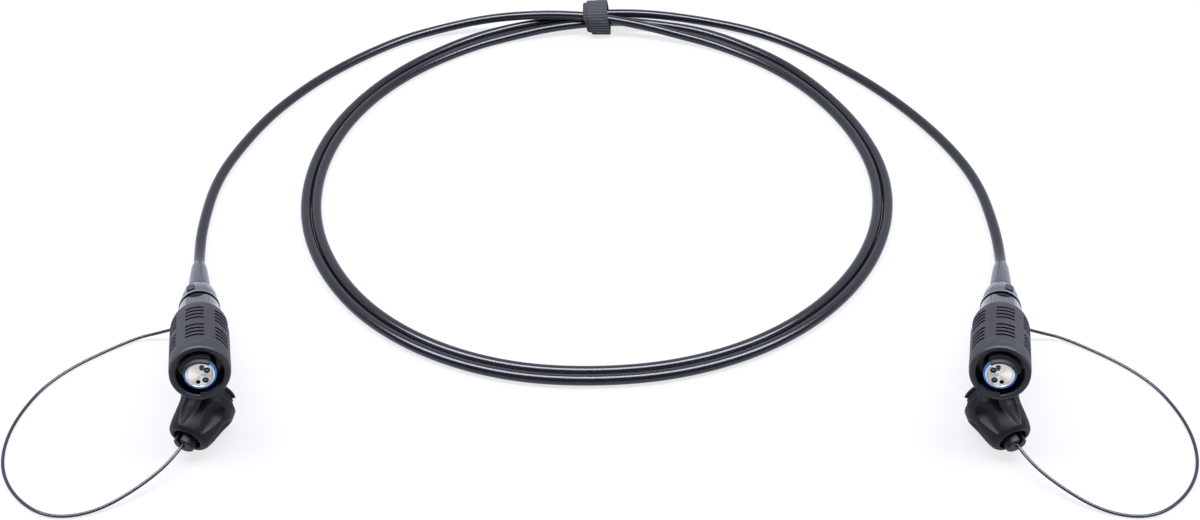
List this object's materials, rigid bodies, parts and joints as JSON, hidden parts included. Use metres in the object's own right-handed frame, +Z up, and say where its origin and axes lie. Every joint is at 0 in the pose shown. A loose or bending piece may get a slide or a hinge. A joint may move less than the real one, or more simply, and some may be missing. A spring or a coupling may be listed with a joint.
{
  "type": "fibre optic cable assembly",
  "caption": "Black fibre optic field cable in a tied coil, with ribbed expanded-beam connectors resting on their dust caps, which hang on wire-rope lanyards.",
  "frame": {"origin": "on the table under the middle of the box round the connectors, caps and tie", "axes": "+X from the left connector to the right one, +Y from the connectors to the tie, +Z up"},
  "size_m": [0.5718, 0.4334, 0.0596],
  "materials": {
    "body_metal": "smooth grey",
    "insert_metal": "satin nickel",
    "bright_metal": "bright nickel",
    "seal_blue": "satin",
    "lens_glass": "polished",
    "pin_steel": "satin",
    "ceramic_white": "polished",
    "fibre_buffer": "smooth",
    "ring_metal": "black anodised",
    "grip_rubber": "matte",
    "seal_black": "matte",
    "collar_plastic": "matte",
    "boot_rubber": "satin",
    "cable_jacket": "satin",
    "lanyard_coat": "twisted rope with a clear dark coat",
    "cap_plastic": "semi-gloss",
    "cap_core_plastic": "satin",
    "tie_fabric": "woven"
  },
  "bodies": {
    "assembly": {"cable_coil": "cable_jacket", "cable_crossover": "cable_jacket", "cable_lead_left": "cable_jacket", "cable_lead_right": "cable_jacket", "left_ball_lenses": "lens_glass", "left_boot": "boot_rubber", "left_cable_end": "cable_jacket", "left_cap_clip": "pin_steel", "left_cap_core": "cap_core_plastic", "left_cap_plug": "cap_core_plastic", "left_cap_seal": "seal_black", "left_collar": "collar_plastic", "left_crimp_sleeve": "bright_metal", "left_face_seal": "seal_blue", "left_ferrules": "ceramic_white", "left_fibres": "fibre_buffer", "left_gland_nut": "body_metal", "left_gland_seal": "seal_black", "left_guide_pin": "pin_steel", "left_insert_ring": "bright_metal", "left_lanyard": "lanyard_coat", "left_lanyard_ferrule": "pin_steel", "left_lanyard_stop": "pin_steel", "left_lens_insert": "insert_metal", "left_neck_seal": "seal_black", "left_plug_body": "body_metal", "left_snap_ring": "pin_steel", "right_ball_lenses": "lens_glass", "right_boot": "boot_rubber", "right_cable_end": "cable_jacket", "right_cap_clip": "pin_steel", "right_cap_core": "cap_core_plastic", "right_cap_plug": "cap_core_plastic", "right_cap_seal": "seal_black", "right_collar": "collar_plastic", "right_crimp_sleeve": "bright_metal", "right_face_seal": "seal_blue", "right_ferrules": "ceramic_white", "right_fibres": "fibre_buffer", "right_gland_nut": "body_metal", "right_gland_seal": "seal_black", "right_guide_pin": "pin_steel", "right_insert_ring": "bright_metal", "right_lanyard": "lanyard_coat", "right_lanyard_ferrule": "pin_steel", "right_lanyard_stop": "pin_steel", "right_lens_insert": "insert_metal", "right_neck_seal": "seal_black", "right_plug_body": "body_metal", "right_snap_ring": "pin_steel", "tie_strap": "tie_fabric"},
    "left_sleeve": {"left_grip_sleeve": "grip_rubber", "left_coupling_ring": "ring_metal"},
    "right_sleeve": {"right_grip_sleeve": "grip_rubber", "right_coupling_ring": "ring_metal"},
    "left_cap_turn": {"left_cap_shell": "cap_plastic"},
    "right_cap_turn": {"right_cap_shell": "cap_plastic"}
  },
  "joints": [
    {"name": "left_sleeve_turn", "type": "hinge", "parent": "assembly", "child": "left_sleeve", "pos_m": [-0.1821, -0.18626, 0.04675], "axis": [0.2592, -0.9159, 0.3065], "range_deg": [0, 90]},
    {"name": "right_sleeve_turn", "type": "hinge", "parent": "assembly", "child": "right_sleeve", "pos_m": [0.1821, -0.18626, 0.04675], "axis": [0.2592, 0.9159, -0.3065], "range_deg": [0, 90]},
    {"name": "left_cap_shell_turn", "type": "hinge", "parent": "assembly", "child": "left_cap_turn", "pos_m": [-0.1934, -0.19355, 0.01027], "axis": [0.3339, 0.9224, 0.1942], "range_deg": [0, 90]},
    {"name": "right_cap_shell_turn", "type": "hinge", "parent": "assembly", "child": "right_cap_turn", "pos_m": [0.1934, -0.19355, 0.01027], "axis": [0.3339, -0.9224, -0.1942], "range_deg": [0, 90]}
  ]
}
